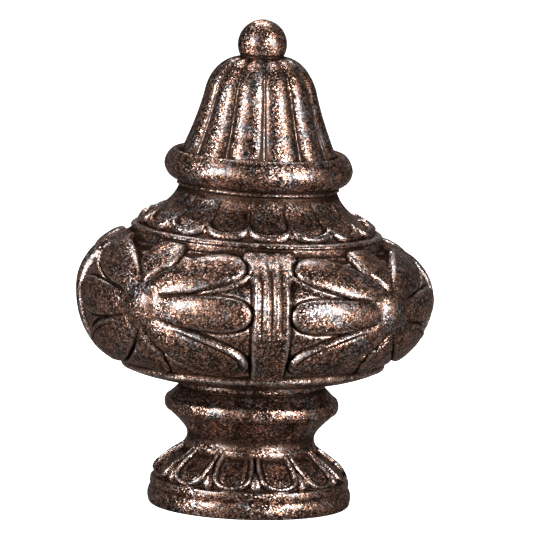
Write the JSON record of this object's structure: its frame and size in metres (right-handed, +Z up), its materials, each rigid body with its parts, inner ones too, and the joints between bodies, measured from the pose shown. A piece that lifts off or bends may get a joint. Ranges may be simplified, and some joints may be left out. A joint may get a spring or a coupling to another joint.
{
  "type": "metal finial",
  "caption": "Cast metal finial with a carved bulb of palmettes, a petalled shoulder, a lobed dome and a ball top, standing on a round foot.",
  "frame": {"origin": "centre of the flat underside, at the level it stands on", "axes": "+Z up through the ball, -Y towards the viewer of the front stem, +X to the viewer's right"},
  "size_m": [0.0736, 0.0738, 0.1001],
  "materials": {
    "bronze_finish": "semi-gloss bronze with dark patina"
  },
  "bodies": {
    "root": {"finial": "bronze_finish"}
  },
  "joints": []
}
